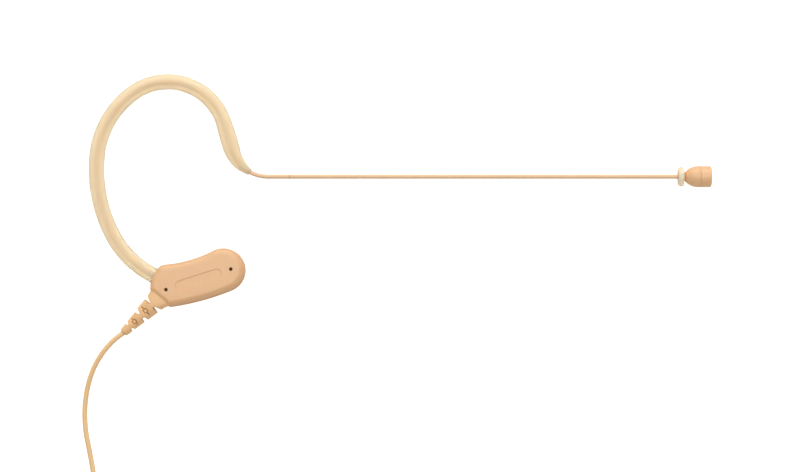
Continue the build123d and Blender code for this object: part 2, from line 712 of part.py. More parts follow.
contact_plane = Plane(plug_plane * Plane.YZ)
with BuildPart() as contact_insert:
    turn(
        plug_plane,
        (INSERT_START, 0),
        (INSERT_START, INSERT_R),
        (NOSE_END - 0.4, INSERT_R),
        (NOSE_END - 0.4, 0),
    )
    latch_bay = (INSERT_START - 1.0, LATCH_HOOK_END + 0.1)
    block(plug_plane, latch_bay, (-latch_half, latch_half), (2.45, 5.0), mode=Mode.SUBTRACT)
    keyway = (SHELL_END + 0.5, NOSE_END + 1.0)
    block(plug_plane, keyway, (3.0, 5.0), (-0.8, 0.8), mode=Mode.SUBTRACT)
    tongue = (INSERT_START - 6.4, INSERT_START + 0.3)
    block(plug_plane, tongue, (-1.25, 1.25), (CONTACT_CIRCLE_R + 0.2, LEAF_LOW))
    with BuildSketch(contact_plane.offset(INSERT_START)):
        with PolarLocations(CONTACT_CIRCLE_R, CONTACT_COUNT, start_angle=45):
            Circle(CONTACT_R)
    extrude(amount=9.5, mode=Mode.SUBTRACT)
    with BuildSketch(contact_plane.offset(INSERT_START)):
        with PolarLocations(CONTACT_CIRCLE_R, CONTACT_COUNT, start_angle=45):
            Circle(CONTACT_BORE_R)
    extrude(amount=12.0, mode=Mode.SUBTRACT)

with BuildPart() as socket_contacts:
    with BuildSketch(contact_plane.offset(INSERT_START - 2.5)):
        with PolarLocations(CONTACT_CIRCLE_R, CONTACT_COUNT, start_angle=45):
            Circle(CONTACT_R)
    extrude(amount=12.0)
    with BuildSketch(contact_plane.offset(INSERT_START + 4.0)):
        with PolarLocations(CONTACT_CIRCLE_R, CONTACT_COUNT, start_angle=45):
            Circle(CONTACT_BORE_R)
    extrude(amount=8.0, mode=Mode.SUBTRACT)
    with BuildSketch(contact_plane.offset(INSERT_START - 3.0)):
        with PolarLocations(CONTACT_CIRCLE_R, CONTACT_COUNT, start_angle=45):
            Circle(0.45)
    extrude(amount=2.2, mode=Mode.SUBTRACT)

with BuildPart() as latch_button:
    half = LATCH_WIDTH / 2
    block(plug_plane, LATCH_PAD, (-half, half), (3.85, PLUG_R + 0.75))
    block(plug_plane, (LATCH_PAD[1], LATCH_HOOK_END), (-half, half), (3.2, 3.75))
    block(plug_plane, (LATCH_PAD[1] - 1.0, LATCH_PAD[1]), (-half, half), (3.2, 4.2))
    block(plug_plane, (LATCH_HOOK_END - 1.3, LATCH_HOOK_END), (-half, half), (3.2, 4.75))
    top_edges = latch_button.faces().sort_by(Axis.Z)[-1].edges()
    chamfer(top_edges, 0.3)
    for index in range(5):
        groove = LATCH_PAD[0] + 1.6 + 1.1 * index
        top = (PLUG_R + 0.6, PLUG_R + 1.0)
        block(plug_plane, (groove, groove + 0.35), (-2, 2), top, mode=Mode.SUBTRACT)

with BuildPart() as latch_spring:
    leaf_low, leaf_high, leaf_thickness = LEAF_LOW, 3.7, 0.14
    leaf_start, leaf_end = INSERT_START - 5.2, INSERT_START - 1.0
    leaf_plane = plug_plane * Plane(origin=(0, 1.0, 0), x_dir=(1, 0, 0), z_dir=(0, -1, 0))
    with BuildSketch(leaf_plane, mode=Mode.PRIVATE) as leaf:
        with BuildLine():
            middle = (leaf_start + leaf_end) / 2
            under = ThreePointArc(
                (leaf_start, leaf_low), (middle, leaf_high), (leaf_end, leaf_low)
            )
            over = ThreePointArc(
                (leaf_start, leaf_low + leaf_thickness),
                (middle, leaf_high + leaf_thickness),
                (leaf_end, leaf_low + leaf_thickness),
            )
            Line(under @ 0, over @ 0)
            Line(under @ 1, over @ 1)
        make_face()
    extrude(leaf.sketch, amount=2.0)

with BuildPart() as plug_wires:
    for index in range(CONTACT_COUNT):
        angle = math.radians(45 + 90 * index)
        side, rise = math.cos(angle), math.sin(angle)
        cup_x = INSERT_START - 2.9
        near = Vector(BOOT_COLLAR_END + 6.6, 0.35 * side, 0.35 * rise)
        bend = Vector(BOOT_COLLAR_END + 8.2, 0.45 * side, 0.45 * rise)
        rise_to = Vector(cup_x - 1.2, CONTACT_CIRCLE_R * side, CONTACT_CIRCLE_R * rise)
        end = Vector(cup_x + 1.8, CONTACT_CIRCLE_R * side, CONTACT_CIRCLE_R * rise)
        route = [plug_plane.from_local_coords(point) for point in (near, bend, rise_to, end)]
        thin_wire(0.2, *route)

with BuildPart() as lead_plug_end:
    turn(
        plug_plane,
        (3.6, 0),
        (3.6, CABLE_R),
        (BOOT_COLLAR_END + 6.6, CABLE_R),
        (BOOT_COLLAR_END + 6.6, 0),
    )

# ---------------------------------------------------------------- named STEP files
PARTS = {
    "boom_tube": boom_tube,
    "boom_core": boom_core,
    "boom_lift_bend": boom_lift_bend,
    "boom_swing_bend": boom_swing_bend,
    "loop_boom_tube": loop_boom_tube,
    "loop_boom_core": loop_boom_core,
    "loop_boom_flex": loop_boom_flex,
    "heel_boom_tube": heel_boom_tube,
    "heel_boom_core": heel_boom_core,
    "ear_sleeve_upper": ear_sleeve_upper,
    "ear_sleeve_flex": ear_sleeve_flex,
    "ear_sleeve_lower": ear_sleeve_lower,
    "capsule_shell": capsule_shell,
    "mic_cap": mic_cap,
    "cap_mesh": cap_mesh,
    "element_gasket": element_gasket,
    "electret_element": electret_element,
    "element_board": element_board,
    "boom_ferrule": boom_ferrule,
    "moisture_ring": moisture_ring,
    "strain_relief": strain_relief,
    "lead_stub": lead_stub,
    "cable_crimp": cable_crimp,
    "housing_rear": housing_rear,
    "housing_front": housing_front,
    "housing_pins": housing_pins,
    "splice_board": splice_board,
    "board_capacitors": board_capacitors,
    "boom_anchor": boom_anchor,
    "boom_leads": boom_leads,
    "cable_leads": cable_leads,
    "lead_cable": lead_cable,
    "lead_coil": lead_coil,
    "coil_tie": coil_tie,
    "lead_tail": lead_tail,
    "plug_boot": plug_boot,
    "plug_end_cap": plug_end_cap,
    "cable_clamp": cable_clamp,
    "plug_shell": plug_shell,
    "contact_insert": contact_insert,
    "socket_contacts": socket_contacts,
    "latch_button": latch_button,
    "latch_spring": latch_spring,
    "plug_wires": plug_wires,
    "lead_plug_end": lead_plug_end,
}

os.makedirs("parts", exist_ok=True)
for name, builder in PARTS.items():
    builder.part.label = name
    export_step(builder.part, f"parts/{name}.step")
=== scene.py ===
"""The looks of the ear-worn headset microphone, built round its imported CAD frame.

Shapes are worked out in millimetres and turned into metres as each mesh is made. A local frame
has its X along the piece, and `placed` puts it in the part's frame.
"""

import json
import math

import bmesh
import bpy
from mathutils import Matrix, Vector


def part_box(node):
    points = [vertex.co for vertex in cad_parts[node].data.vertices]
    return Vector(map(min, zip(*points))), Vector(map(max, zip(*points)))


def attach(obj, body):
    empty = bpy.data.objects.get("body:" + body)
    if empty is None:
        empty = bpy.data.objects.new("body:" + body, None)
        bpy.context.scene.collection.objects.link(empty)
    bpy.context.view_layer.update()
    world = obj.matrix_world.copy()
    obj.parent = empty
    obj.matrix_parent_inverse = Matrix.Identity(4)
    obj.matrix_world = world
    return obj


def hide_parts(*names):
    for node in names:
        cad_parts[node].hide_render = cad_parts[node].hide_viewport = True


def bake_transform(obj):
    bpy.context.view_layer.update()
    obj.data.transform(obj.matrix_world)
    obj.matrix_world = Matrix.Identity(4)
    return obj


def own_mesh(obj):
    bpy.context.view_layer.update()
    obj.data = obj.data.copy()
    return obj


MM = 0.001
WHITE = (1.0, 1.0, 1.0)

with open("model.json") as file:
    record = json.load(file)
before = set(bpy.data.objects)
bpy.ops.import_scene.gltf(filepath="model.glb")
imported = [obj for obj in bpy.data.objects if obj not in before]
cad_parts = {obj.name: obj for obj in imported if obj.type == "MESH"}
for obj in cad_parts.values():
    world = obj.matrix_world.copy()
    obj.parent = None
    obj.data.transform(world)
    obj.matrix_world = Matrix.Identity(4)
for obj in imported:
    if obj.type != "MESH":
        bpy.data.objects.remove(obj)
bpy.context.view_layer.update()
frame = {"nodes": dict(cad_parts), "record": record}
slot_of = {part["node"]: part["material_slot"] for part in frame["record"]["subparts"]}


def box_mm(node):
    """A CAD node's lowest and highest corners, in millimetres."""
    low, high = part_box(node)
    return low / MM, high / MM


# ---------------------------------------------------------------- sizes, in millimetres
boom_low, boom_high = box_mm("boom_tube")
lift_low, lift_high = box_mm("boom_lift_bend")
shell_low, shell_high = box_mm("capsule_shell")
cap_low, cap_high = box_mm("mic_cap")
ring_low, ring_high = box_mm("moisture_ring")
_, rear_high = box_mm("housing_rear")
_, front_high = box_mm("housing_front")

BOOM_Y = (boom_low.y + boom_high.y) / 2
MID = (boom_low.z + boom_high.z) / 2
BOOM_R = (boom_high.z - boom_low.z) / 2
CAPSULE_R = (shell_high.y - shell_low.y) / 2
SEAM_Z = rear_high.z
FACE_Z = front_high.z

# The boom's centreline from its straight part round the ear: lengths of lines, radii and
# turns of arcs, positive to the left
BEND_X = -37.0
BEND_R, BEND_BARE, BEND_SLEEVED = 10.5, 28.0, 45.1
LIMB_LENGTH = 7.8
LOOP_ARCS = ((16.5, 107.7), (24.4, 49.7), (39.7, 33.4), (26.6, 34.5))
HEEL_STUB, ANCHOR_STUB = 1.9, 4.4
SLEEVED_RUNS = (
    (BEND_R, -BEND_BARE), (BEND_R, -BEND_SLEEVED), (LIMB_LENGTH,), *LOOP_ARCS, (HEEL_STUB,)
)
PATH_STEP = 0.35

# the capsule's tapered rear: how far along, and its radius there
OGIVE = ((0, 0.8), (0.1, 1.02), (0.35, 1.37), (0.85, 1.86), (1.5, 2.32), (2.3, 2.7), (3.4, 2.95))

SLEEVE_R = 2.17
SLEEVE_PROFILE = ((0.0, 0.78), (0.25, 0.94), (0.7, 1.0), (1.6, 1.2), (3.5, 1.62), (6.0, 1.98))
SLEEVE_FULL_AT = 9.0
LIMB_SWELL = 0.2  # how much thicker the sleeve is just behind its tip

HOUSING_AT = (-56.25, -20.81)
HOUSING_TILT = 17.55
HOUSING_WALL = 1.1
HOUSING_END, HOUSING_END_R = (7.2, 0.29), 6.12
HOUSING_END_FROM, HOUSING_END_TURN = -84, 182.5
HOUSING_CORNERS = ((-9.1, 7.0), (-12.75, 4.45), (-14.2, 0.95), (-10.35, -5.0))
CORNER_REACHES = (0.0, 1.3, 0.92, 0.86, 0.63, 0.0)  # how far each corner's curve runs
TOP_MIDDLE, BOTTOM_MIDDLE = (1.0, 5.8), (1.0, -6.06)  # on the two long sides
BEVEL_IN, BEVEL_OUT, BEVEL_LOW_Z = 1.85, 0.3, 4.45  # of the front shell's wide bevel
REAR_BEVEL = 0.9
FRONT_SHIFT = (-0.12, 0.2)  # so the rear shell shows a little along the lower right edge
PIN_SPAN = 19.0
PIN_HOLE_R, PIN_BOSS_R = 0.52, 0.95
PANEL_LENGTH, PANEL_WIDTH, PANEL_DEPTH = 13.4, 2.7, 0.16

RELIEF_AT = (-67.68, -26.33)
RELIEF_HEADING = 224.0
# along the axis, half width, half height, and how square the section is: 1 is an ellipse
RELIEF_STATIONS = (
    (-1.3, 3.7, 2.5, 0.45), (-0.9, 3.5, 2.5, 0.45), (-0.2, 3.25, 2.55, 0.5),
    (0.4, 3.0, 2.6, 0.55), (1.0, 2.85, 2.65, 0.6), (2.1, 2.7, 2.65, 0.7),
    (2.85, 2.62, 2.55, 0.85), (6.1, 2.24, 2.2, 0.9), (7.35, 1.99, 1.97, 1.0),
    (10.55, 1.58, 1.57, 1.0), (11.6, 1.48, 1.48, 1.0), (12.9, 1.34, 1.34, 1.0),
    (13.35, 1.23, 1.23, 1.0), (13.65, 1.06, 1.06, 1.0), (13.8, 0.8, 0.8, 1.0),
)
RELIEF_SIDES = 96
RELIEF_NECK = 0.78
# along the axis: where each notch starts and ends at its mouth, and at its root
RELIEF_NOTCHES = ((1.5, 2.9, 2.15, 2.8), (6.0, 7.4, 6.35, 7.3), (10.5, 11.7, 10.75, 11.55))
RELIEF_GROOVES = ((4.75, 2.37, 1.75), (9.1, 1.76, 1.4))  # place, radius there, half width
GROOVE_DEPTH, GROOVE_HALF, WINDOW_HALF, POST_HALF = 0.9, 0.17, 0.66, 0.34
POST_SINK = 0.08  # of each window's post, below the surface
MOUTH_EDGE, CUTTER_REACH = 2.6, 5.0  # from the axis, of the notches' flare and of their cutters

LEAF_THICKNESS, LEAF_STEPS = 0.14, 32

CABLE_R = 0.725
LEAD_ROUTE = (
    (-77.61, -35.92, 2.95),
    (-81.2, -38.3, 2.95),
    (-86.3, -45.6, 1.75),
    (-88.6, -54.0, 0.85),
    (-88.75, -62.6, 0.74),
    (-86.9, -71.2, 0.78),
    (-85.6, -79.8, 0.9),
)
TAIL_ROUTE = (
    (-61.6, -103.3, 3.9),
    (-56.1, -100.1, 2.2),
    (-50.8, -96.8, 2.2),
    (-45.2, -95.0, 4.7),
    (-38.4, -95.0, 4.7),
)
COIL_AT = (-71.6, -92.8)
COIL_INNER_R, COIL_PITCH, COIL_COLUMNS = 6.9, 1.5, 5
COIL_LAYERS, COIL_LAYER_HEIGHT = 4, 1.47
COIL_BOTTOM_Z = 1.025
COIL_FROM, COIL_TO = 162.0, 288.0  # where round the coil the lead arrives and leaves
COIL_TURNS = 19
COIL_STEPS = 24  # control points in a turn

VIEW_WIDTH = 225.5  # of the table, across the camera's view
VIEW_CENTRE = (0.06, -8.70)
LENS, SENSOR = 100.0, 36.0
FLOOR_HALF = 1500.0


# ---------------------------------------------------------------- materials
def srgb(red, green, blue):
    """A colour given in 0-255 sRGB, as linear values."""
    return tuple(
        c / 12.92 if c <= 0.04045 else ((c + 0.055) / 1.055) ** 2.4
        for c in (red / 255, green / 255, blue / 255)
    )


def material(
    name, colour, roughness, tint=0.05, tint_scale=150.0, grain=0.0, grain_scale=3000.0,
    rough_spread=0.05, streaks=None, **sockets,
):
    """A Principled material whose colour, gloss and surface vary with procedural noise."""
    made = bpy.data.materials.new(name)
    made.use_nodes = True
    nodes, links = made.node_tree.nodes, made.node_tree.links
    shader = nodes["Principled BSDF"]
    for socket, value in sockets.items():
        shader.inputs[socket.replace("_", " ")].default_value = value
    place = nodes.new("ShaderNodeTexCoord").outputs["Object"]
    if streaks:
        stretch = nodes.new("ShaderNodeMapping")
        stretch.inputs["Scale"].default_value = streaks
        links.new(place, stretch.inputs["Vector"])
        place = stretch.outputs["Vector"]

    def noise(scale, detail):
        texture = nodes.new("ShaderNodeTexNoise")
        texture.inputs["Scale"].default_value = scale
        texture.inputs["Detail"].default_value = detail
        links.new(place, texture.inputs["Vector"])
        return texture.outputs["Fac"]

    mix = nodes.new("ShaderNodeMix")
    mix.data_type = "RGBA"
    mix.inputs["A"].default_value = (*(c * (1 - tint) for c in colour), 1.0)
    mix.inputs["B"].default_value = (*(min(1.0, c * (1 + tint)) for c in colour), 1.0)
    links.new(noise(tint_scale, 3.0), mix.inputs["Factor"])
    links.new(mix.outputs["Result"], shader.inputs["Base Color"])
    spread = nodes.new("ShaderNodeMapRange")
    spread.inputs["To Min"].default_value = max(0.02, roughness - rough_spread)
    spread.inputs["To Max"].default_value = min(1.0, roughness + rough_spread)
    links.new(noise(tint_scale * 4, 4.0), spread.inputs["Value"])
    links.new(spread.outputs["Result"], shader.inputs["Roughness"])
    if grain:
        bump = nodes.new("ShaderNodeBump")
        bump.inputs["Strength"].default_value = grain
        bump.inputs["Distance"].default_value = 0.02 * MM
        links.new(noise(grain_scale, 2.0), bump.inputs["Height"])
        links.new(bump.outputs["Normal"], shader.inputs["Normal"])
    return made


TAN = srgb(220, 173, 124)
skin = {"Subsurface_Weight": 0.12, "Subsurface_Radius": (1.0, 0.6, 0.35),
        "Subsurface_Scale": 0.6 * MM}
MATERIALS = {
    "housing_plastic": material(
        "housing_plastic", TAN, 0.4, grain=0.25, Specular_IOR_Level=0.8, **skin
    ),
    "capsule_plastic": material(
        "capsule_plastic", srgb(222, 177, 132), 0.36, grain=0.15, **skin
    ),
    "sleeve_silicone": material(
        "sleeve_silicone", srgb(246, 229, 197), 0.4, tint=0.03, Transmission_Weight=0.55,
        IOR=1.41, Subsurface_Weight=1.0, Subsurface_Radius=(1.0, 0.8, 0.55),
        Subsurface_Scale=3.0 * MM,
    ),
    "ring_silicone": material(
        "ring_silicone", srgb(250, 226, 198), 0.35, tint=0.03, Transmission_Weight=0.3,
        IOR=1.41, Subsurface_Weight=1.0, Subsurface_Radius=(1.0, 0.8, 0.6),
        Subsurface_Scale=2.0 * MM,
    ),
    "boom_coating": material("boom_coating", srgb(221, 183, 144), 0.36, grain=0.1, **skin),
    # painted light: the boom's coating again, but lighter, to make up for the shade inside the
    # sleeve
    "boom_in_sleeve": material("boom_in_sleeve", srgb(240, 210, 181), 0.4, **skin),
    "relief_rubber": material("relief_rubber", srgb(225, 181, 129), 0.5, grain=0.3),
    "cable_jacket": material("cable_jacket", srgb(226, 188, 136), 0.45, grain=0.2, **skin),
    "core_wire": material("core_wire", srgb(190, 184, 176), 0.3, Metallic=1.0),
    "pin_dark": material("pin_dark", srgb(104, 62, 16), 0.6),
    "board": material("board", srgb(28, 96, 52), 0.4, Coat_Weight=0.4),
    "chip": material("chip", srgb(150, 122, 90), 0.6),
    "brass_small": material("brass_small", srgb(214, 178, 104), 0.28, Metallic=1.0),
    "gold_contact": material("gold_contact", srgb(236, 190, 96), 0.2, Metallic=1.0),
    "steel_mesh": material(
        "steel_mesh", srgb(150, 150, 150), 0.35, grain=0.8, grain_scale=6000.0, Metallic=1.0
    ),
    "element_can": material("element_can", srgb(200, 200, 204), 0.3, Metallic=1.0),
    "gasket_rubber": material("gasket_rubber", srgb(30, 30, 30), 0.7),
    "wire_insulation": material("wire_insulation", srgb(196, 56, 40), 0.5),
    "tie_wrap": material("tie_wrap", srgb(38, 38, 40), 0.62, grain=0.6, grain_scale=1800.0),
    "plug_boot_rubber": material("plug_boot_rubber", srgb(30, 30, 32), 0.55, grain=0.4),
    "plug_metal": material(
        "plug_metal", srgb(196, 196, 198), 0.27, tint=0.03, Metallic=1.0, grain=0.05,
        streaks=(0.1, 1.0, 1.0), Anisotropic=0.4,
    ),
    "plug_cap_metal": material(
        "plug_cap_metal", srgb(184, 184, 187), 0.33, tint=0.04, Metallic=1.0, grain=0.08
    ),
    "plug_insulator": material("plug_insulator", srgb(26, 26, 28), 0.48, grain=0.2),
    "clamp_plastic": material("clamp_plastic", srgb(224, 222, 214), 0.5),
    "latch_steel": material("latch_steel", srgb(206, 206, 208), 0.24, Metallic=1.0),
}


def finish_piece(piece, slot):
    """Gives a new piece the material of its record slot."""
    piece.data.materials.clear()
    piece.data.materials.append(MATERIALS[slot])


# ---------------------------------------------------------------- mesh tools
def new_mesh(name, points, faces, slot):
    """A smooth-shaded mesh from points in millimetres."""
    mesh = bpy.data.meshes.new(name)
    mesh.from_pydata([tuple(c * MM for c in point) for point in points], [], faces)
    mesh.validate()
    piece = bpy.data.objects.new(name, mesh)
    bpy.context.scene.collection.objects.link(piece)
    tidy = bmesh.new()
    tidy.from_mesh(mesh)
    bmesh.ops.recalc_face_normals(tidy, faces=tidy.faces)
    tidy.to_mesh(mesh)
    tidy.free()
    mesh.shade_smooth()
    if slot:
        finish_piece(piece, slot)
    return piece


def apply_modifiers(piece):
    """Replaces a piece's mesh with what its modifiers make of it."""
    bpy.context.view_layer.update()
    graph = bpy.context.evaluated_depsgraph_get()
    mesh = bpy.data.meshes.new_from_object(piece.evaluated_get(graph))
    piece.modifiers.clear()
    piece.data = mesh


def cut(piece, cutters, operation="DIFFERENCE"):
    """Cuts these meshes out of the piece, or joins them to it, and deletes them."""
    for cutter in cutters:
        boolean = piece.modifiers.new("cut", "BOOLEAN")
        boolean.operation = operation
        boolean.solver = "MANIFOLD"
        boolean.object = cutter
    apply_modifiers(piece)
    for cutter in cutters:
        bpy.data.objects.remove(cutter)


def sharpen(piece, degrees=35.0):
    """Smooth shading, but for edges sharper than this."""
    piece.data.shade_smooth()
    piece.data.set_sharp_from_angle(angle=math.radians(degrees))


def placed(origin, heading, height=0.0):
    """The matrix that puts a local frame at origin, with its X along heading, in degrees."""
    turn = Matrix.Rotation(math.radians(heading), 4, "Z")
    return Matrix.Translation((origin[0], origin[1], height)) @ turn


def rings_mesh(name, rings, slot, close_ends=True, ring_around=False):
    """A skin over rings of equally many points, capped at both ends or joined end to end."""
    count = len(rings[0])
    points = [point for ring in rings for point in ring]
    pairs = list(zip(range(len(rings)), range(1, len(rings))))
    if ring_around:
        pairs.append((len(rings) - 1, 0))
    faces = []
    for a, b in pairs:
        for i in range(count):
            j = (i + 1) % count
            faces.append((a * count + i, a * count + j, b * count + j, b * count + i))
    if close_ends and not ring_around:
        faces.append(tuple(range(count)))
        last = (len(rings) - 1) * count
        faces.append(tuple(last + i for i in range(count)))
    return new_mesh(name, points, faces, slot)


def rounded_profile(corners, steps=6):
    """An outline with its corners rounded: each corner is (x, y, reach), and reach is how far
    along both sides its curve runs."""
    points = []
    for index, (x, y, reach) in enumerate(corners):
        here = Vector((x, y))
        if not reach or index in (0, len(corners) - 1):
            points.append(here)
            continue
        before = Vector(corners[index - 1][:2]) - here
        after = Vector(corners[index + 1][:2]) - here
        start = here + before.normalized() * min(reach, before.length * 0.49)
        end = here + after.normalized() * min(reach, after.length * 0.49)
        for step in range(steps + 1):
            t = step / steps
            points.append(start * (1 - t) ** 2 + here * (2 * t * (1 - t)) + end * t**2)
    return [(point.x, point.y) for point in points]


def lathe(name, profile, matrix, slot, sides=64, closed=False):
    """Turns (along, radius) points about the local X axis. A closed profile makes a tube."""
    rings = []
    for along, radius in profile:
        ring = []
        for side in range(sides):
            angle = 2 * math.pi * side / sides
            local = Vector((along, radius * math.cos(angle), radius * math.sin(angle)))
            ring.append(matrix @ local)
        rings.append(ring)
    return rings_mesh(name, rings, slot, ring_around=closed)


def smooth_curve(points, steps=6):
    """A Catmull-Rom curve through these (x, y) points."""
    ends = [points[0], *points, points[-1]]
    curve = []
    for a, b, c, d in zip(ends, ends[1:], ends[2:], ends[3:]):
        a, b, c, d = map(Vector, (a, b, c, d))
        for step in range(steps):
            t = step / steps
            curve.append(
                0.5 * ((2 * b) + (c - a) * t + (2 * a - 5 * b + 4 * c - d) * t**2
                       + (3 * b - a - 3 * c + d) * t**3)
            )
    return [(p.x, p.y) for p in curve] + [tuple(points[-1])]


# ---------------------------------------------------------------- the boom's centreline
def follow(runs, start, heading):
    """Points and directions along tangent lines and arcs: a run is (length,) or (radius, turn)."""
    point, angle = Vector(start), math.radians(heading)
    path = [(point.copy(), angle)]
    marks = [0]
    for run in runs:
        turn = math.radians(run[1]) if len(run) == 2 else 0.0
        length = run[0] * abs(turn) if turn else run[0]
        count = max(2, round(length / PATH_STEP))
        for _ in range(count):
            half = turn / count / 2
            chord = length / count * (math.sin(half) / half if half else 1.0)
            direction = angle + half
            point = point + Vector((math.cos(direction), math.sin(direction))) * chord
            angle += 2 * half
            path.append((point.copy(), angle))
        marks.append(len(path) - 1)
    return path, marks


def tube(name, path, radii, slot, sides=40):
    """A round tube in the boom's plane, with its radius given at each point of the path."""
    rings = []
    for (point, angle), radius in zip(path, radii):
        across = Vector((-math.sin(angle), math.cos(angle), 0.0))
        centre = Vector((point.x, point.y, MID))
        rings.append([
            centre + across * (radius * math.cos(a)) + Vector((0, 0, radius * math.sin(a)))
            for a in (2 * math.pi * side / sides for side in range(sides))
        ])
    return rings_mesh(name, rings, slot)


def lengths_along(path):
    """How far along the path each of its points is."""
    total, found = 0.0, [0.0]
    for (a, _), (b, _) in zip(path, path[1:]):
        total += (b - a).length
        found.append(total)
    return found


# ---------------------------------------------------------------- camera and light
def soft_light(name, place, size, power):
    """A rectangular soft light that faces the origin."""
    light = bpy.data.lights.new(name, "AREA")
    light.shape = "RECTANGLE"
    light.size, light.size_y = size
    light.energy = power
    lamp = bpy.data.objects.new(name, light)
    lamp.location = place
    lamp.rotation_euler = (-Vector(place)).to_track_quat("-Z", "Y").to_euler()
    bpy.context.scene.collection.objects.link(lamp)


def make_stage():
    """The table, the camera straight above it, and soft light from above and behind the hook."""
    camera = bpy.data.cameras.new("camera")
    camera.lens, camera.sensor_width = LENS, SENSOR
    camera.clip_start, camera.clip_end = 0.01, 10.0
    view = bpy.data.objects.new("camera", camera)
    height = VIEW_WIDTH * LENS / SENSOR
    view.location = (VIEW_CENTRE[0] * MM, VIEW_CENTRE[1] * MM, height * MM)
    bpy.context.scene.collection.objects.link(view)
    bpy.context.scene.camera = view

    world = bpy.data.worlds.new("world")
    bpy.context.scene.world = world
    world.use_nodes = True
    world.node_tree.nodes["Background"].inputs["Color"].default_value = (*WHITE, 1.0)
    world.node_tree.nodes["Background"].inputs["Strength"].default_value = 0.4
    soft_light("overhead", (0.0, 0.3, 1.3), (1.6, 1.2), 12.0)
    soft_light("behind", (0.0, 1.1, 0.5), (1.4, 0.6), 7.5)

    half = FLOOR_HALF
    floor = new_mesh(
        "floor", [(-half, -half, 0), (half, -half, 0), (half, half, 0), (-half, half, 0)],
        [(0, 1, 2, 3)], None,
    )
    floor.location.z = -0.02 * MM
    floor.visible_glossy = False
    paper = bpy.data.materials.new("paper")
    paper.use_nodes = True
    shader = paper.node_tree.nodes["Principled BSDF"]
    shader.inputs["Base Color"].default_value = (0.5, 0.5, 0.5, 1.0)
    shader.inputs["Roughness"].default_value = 0.9
    shader.inputs["Specular IOR Level"].default_value = 0.0
    shader.inputs["Emission Color"].default_value = (*WHITE, 1.0)
    shader.inputs["Emission Strength"].default_value = 0.85
    floor.data.materials.append(paper)
    bpy.context.scene.view_settings.view_transform = "Standard"


# ---------------------------------------------------------------- lead
def coil_points():
    """The coil's turns: rings side by side in layers, with a jog from each to the next."""
    jog = 1 / 6  # of a turn
    spare = (360 + COIL_TO - COIL_FROM) % 360 / 360
    points = []
    for step in range(round((COIL_TURNS + spare) * COIL_STEPS) + 1):
        turns = step / COIL_STEPS
        turn, share = int(turns), turns % 1
        layer, place = divmod(turn, COIL_COLUMNS)
        column = place if layer % 2 else COIL_COLUMNS - 1 - place
        rise = 0.0
        if place and share < jog:
            last = column - 1 if layer % 2 else column + 1
            ease = (1 - math.cos(math.pi * share / jog)) / 2
            column = last + (column - last) * ease
        if place == COIL_COLUMNS - 1 and share > 1 - jog and layer < COIL_LAYERS - 1:
            rise = (1 - math.cos(math.pi * (share - 1 + jog) / jog)) / 2
        radius = COIL_INNER_R + COIL_PITCH * column
        radius /= (1 + math.cos(math.pi / COIL_STEPS)) / 2
        angle = math.radians(COIL_FROM + 360 * turns)
        points.append((
            COIL_AT[0] + radius * math.cos(angle),
            COIL_AT[1] + radius * math.sin(angle),
            COIL_BOTTOM_Z + (layer + rise) * COIL_LAYER_HEIGHT,
        ))
    return points


def make_lead():
    """The thin lead from the strain relief, wound into its coil and on into the plug's boot."""
    route = [*LEAD_ROUTE, *coil_points(), *TAIL_ROUTE]
    curve = bpy.data.curves.new("lead", "CURVE")
    curve.dimensions = "3D"
    curve.bevel_depth = CABLE_R * MM
    curve.bevel_resolution = 6
    curve.resolution_u = 6
    curve.use_fill_caps = True
    spline = curve.splines.new("NURBS")
    spline.points.add(len(route) - 1)
    for point, place in zip(spline.points, route):
        point.co = (*(c * MM for c in place), 1.0)
    spline.order_u = 3
    spline.use_endpoint_u = True
    lead = bpy.data.objects.new("lead", curve)
    bpy.context.scene.collection.objects.link(lead)
    finish_piece(lead, "cable_jacket")
    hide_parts("lead_cable", "lead_coil", "lead_tail")
    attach(lead, "housing")
    return lead


# ---------------------------------------------------------------- boom and sleeve
def make_boom_and_sleeve():
    """The boom from the capsule to the housing, and the soft sleeve over its hook."""
    path, marks = follow([*SLEEVED_RUNS, (ANCHOR_STUB,)], (BEND_X, BOOM_Y), 180.0)
    tip, sleeve_end = marks[1], marks[8]

    covered = path[tip : sleeve_end + 1]
    along = lengths_along(covered)
    stops = [*SLEEVE_PROFILE, (SLEEVE_FULL_AT, SLEEVE_R + LIMB_SWELL),
             (SLEEVE_FULL_AT + 3.0, SLEEVE_R + LIMB_SWELL), (SLEEVE_FULL_AT + 9.0, SLEEVE_R),
             (along[-1] + 1, SLEEVE_R)]
    radii = [value_at(stops, length) for length in along]
    sleeve = tube("ear_sleeve", covered, radii, "sleeve_silicone", sides=48)
    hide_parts("ear_sleeve_upper", "ear_sleeve_flex", "ear_sleeve_lower")
    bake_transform(sleeve)

    hidden = path[tip + 4 :]
    inner = tube("boom_in_sleeve", hidden, [BOOM_R] * len(hidden), "boom_coating", sides=24)
    # painted light: inside the sleeve the boom gets a lighter copy of its coating, to offset the
    # shade there
    inner.data.materials[0] = MATERIALS["boom_in_sleeve"]
    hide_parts("loop_boom_tube", "loop_boom_flex", "heel_boom_tube")
    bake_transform(inner)

    swing_x = lift_low.x
    straight = [(Vector((swing_x + (BEND_X - swing_x) * i / 20, BOOM_Y)), math.pi)
                for i in range(20)]
    bend = straight + path[: tip + 5]
    swing = tube("boom_bend", bend, [BOOM_R] * len(bend), "boom_coating", sides=24)
    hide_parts("boom_swing_bend")
    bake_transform(swing)

    ends = (swing_x, boom_high.x)
    count = 160
    run = [(Vector((ends[0] + (ends[1] - ends[0]) * i / count, BOOM_Y)), 0.0)
           for i in range(count + 1)]
    main = tube("boom_straight", run, [BOOM_R] * len(run), "boom_coating", sides=24)
    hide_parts("boom_tube", "boom_lift_bend")
    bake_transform(main)


def value_at(stops, at):
    """The value at this place on the straight lines that join (place, value) stops."""
    for (a, low), (b, high) in zip(stops, stops[1:]):
        if at <= b:
            t = min(1.0, max(0.0, (at - a) / (b - a)))
            return low + (high - low) * t
    return stops[-1][1]


